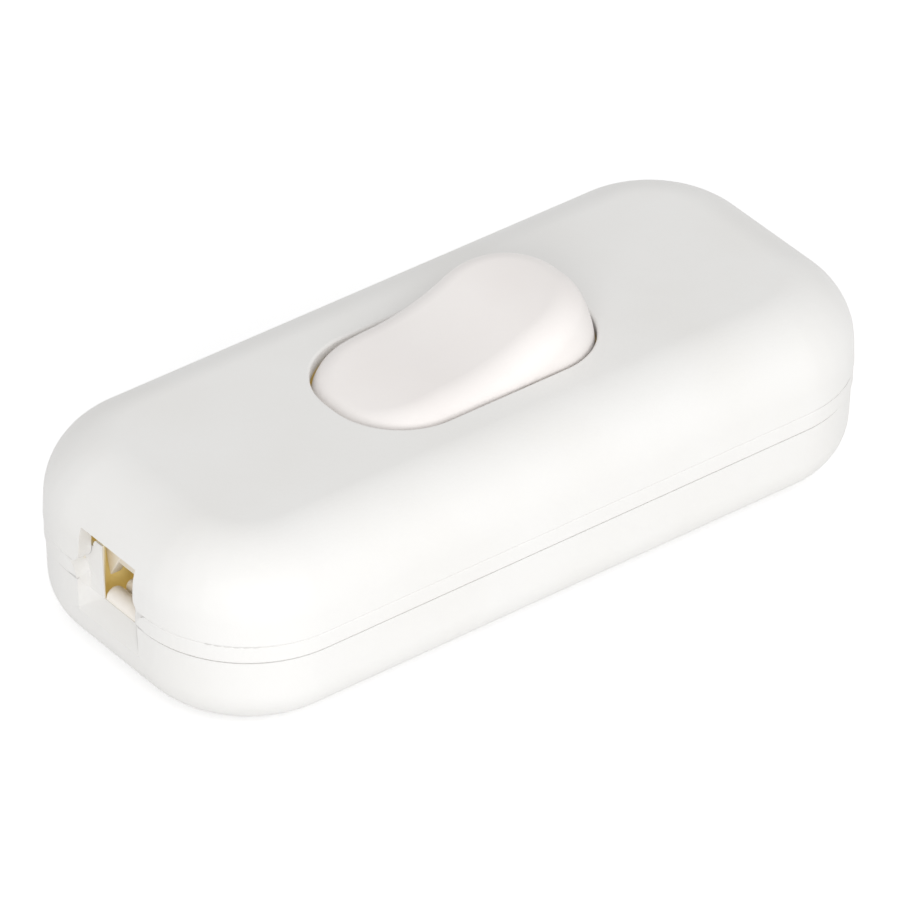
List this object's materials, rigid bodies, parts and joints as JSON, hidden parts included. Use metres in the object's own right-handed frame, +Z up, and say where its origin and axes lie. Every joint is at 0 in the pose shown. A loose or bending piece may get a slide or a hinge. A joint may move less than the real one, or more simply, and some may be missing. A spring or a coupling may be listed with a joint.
{
  "type": "inline cord switch",
  "caption": "White inline cord switch with a rounded two-part housing, a wave-topped rocker and a clamped cord entry at each end.",
  "frame": {"origin": "middle of the flat underside", "axes": "+X along the housing's length, from the end that shows in the picture to the far end; +Y across it; +Z up through the rocker"},
  "size_m": [0.08, 0.0354, 0.0243],
  "materials": {
    "base_plastic": "satin",
    "cover_plastic": "satin",
    "rocker_plastic": "satin",
    "clamp_plastic": "matte",
    "plunger_plastic": "matte",
    "strip_brass": "satin",
    "terminal_brass": "satin",
    "contact_silver": "satin",
    "spring_steel": "satin",
    "screw_steel": "satin"
  },
  "bodies": {
    "housing": {"base_shell": "base_plastic", "cover_shell": "cover_plastic", "near_cord_clamp": "clamp_plastic", "far_cord_clamp": "clamp_plastic", "terminal_screws": "screw_steel", "clamp_screws": "screw_steel", "housing_screws": "screw_steel", "line_fixed_contact": "contact_silver", "line_inlet_strip": "strip_brass", "line_outlet_strip": "strip_brass", "line_inlet_terminal": "terminal_brass", "line_outlet_terminal": "terminal_brass", "neutral_fixed_contact": "contact_silver", "neutral_inlet_strip": "strip_brass", "neutral_outlet_strip": "strip_brass", "neutral_inlet_terminal": "terminal_brass", "neutral_outlet_terminal": "terminal_brass"},
    "rocker": {"rocker_button": "rocker_plastic", "line_spring": "spring_steel", "neutral_spring": "spring_steel"},
    "line_lever": {"line_lever": "strip_brass", "line_lever_contact": "contact_silver"},
    "line_plunger": {"line_plunger": "plunger_plastic"},
    "neutral_lever": {"neutral_lever": "strip_brass", "neutral_lever_contact": "contact_silver"},
    "neutral_plunger": {"neutral_plunger": "plunger_plastic"}
  },
  "joints": [
    {"name": "rocker_tilt", "type": "hinge", "parent": "housing", "child": "rocker", "pos_m": [0, 0, 0.0164], "axis": [0, 1, 0], "range_deg": [0, 24]},
    {"name": "line_lever_tilt", "type": "hinge", "parent": "housing", "child": "line_lever", "pos_m": [0, -0.004, 0.0064], "axis": [0, 1, 0], "range_deg": [-16, 0]},
    {"name": "line_plunger_slide", "type": "slide", "parent": "rocker", "child": "line_plunger", "axis": [-0.2079, 0, 0.9781], "range_m": [0, 0.0008], "stiffness_N_per_m": 400, "springref_m": -0.003, "deforming": ["line_spring"]},
    {"name": "neutral_lever_tilt", "type": "hinge", "parent": "housing", "child": "neutral_lever", "pos_m": [0, 0.004, 0.0064], "axis": [0, 1, 0], "range_deg": [-16, 0]},
    {"name": "neutral_plunger_slide", "type": "slide", "parent": "rocker", "child": "neutral_plunger", "axis": [-0.2079, 0, 0.9781], "range_m": [0, 0.0008], "stiffness_N_per_m": 400, "springref_m": -0.003, "deforming": ["neutral_spring"]}
  ],
  "couplings": [
    {"joint": "line_lever_tilt", "follows": "rocker_tilt", "ratio": -0.6666},
    {"joint": "neutral_lever_tilt", "follows": "rocker_tilt", "ratio": -0.6666}
  ]
}
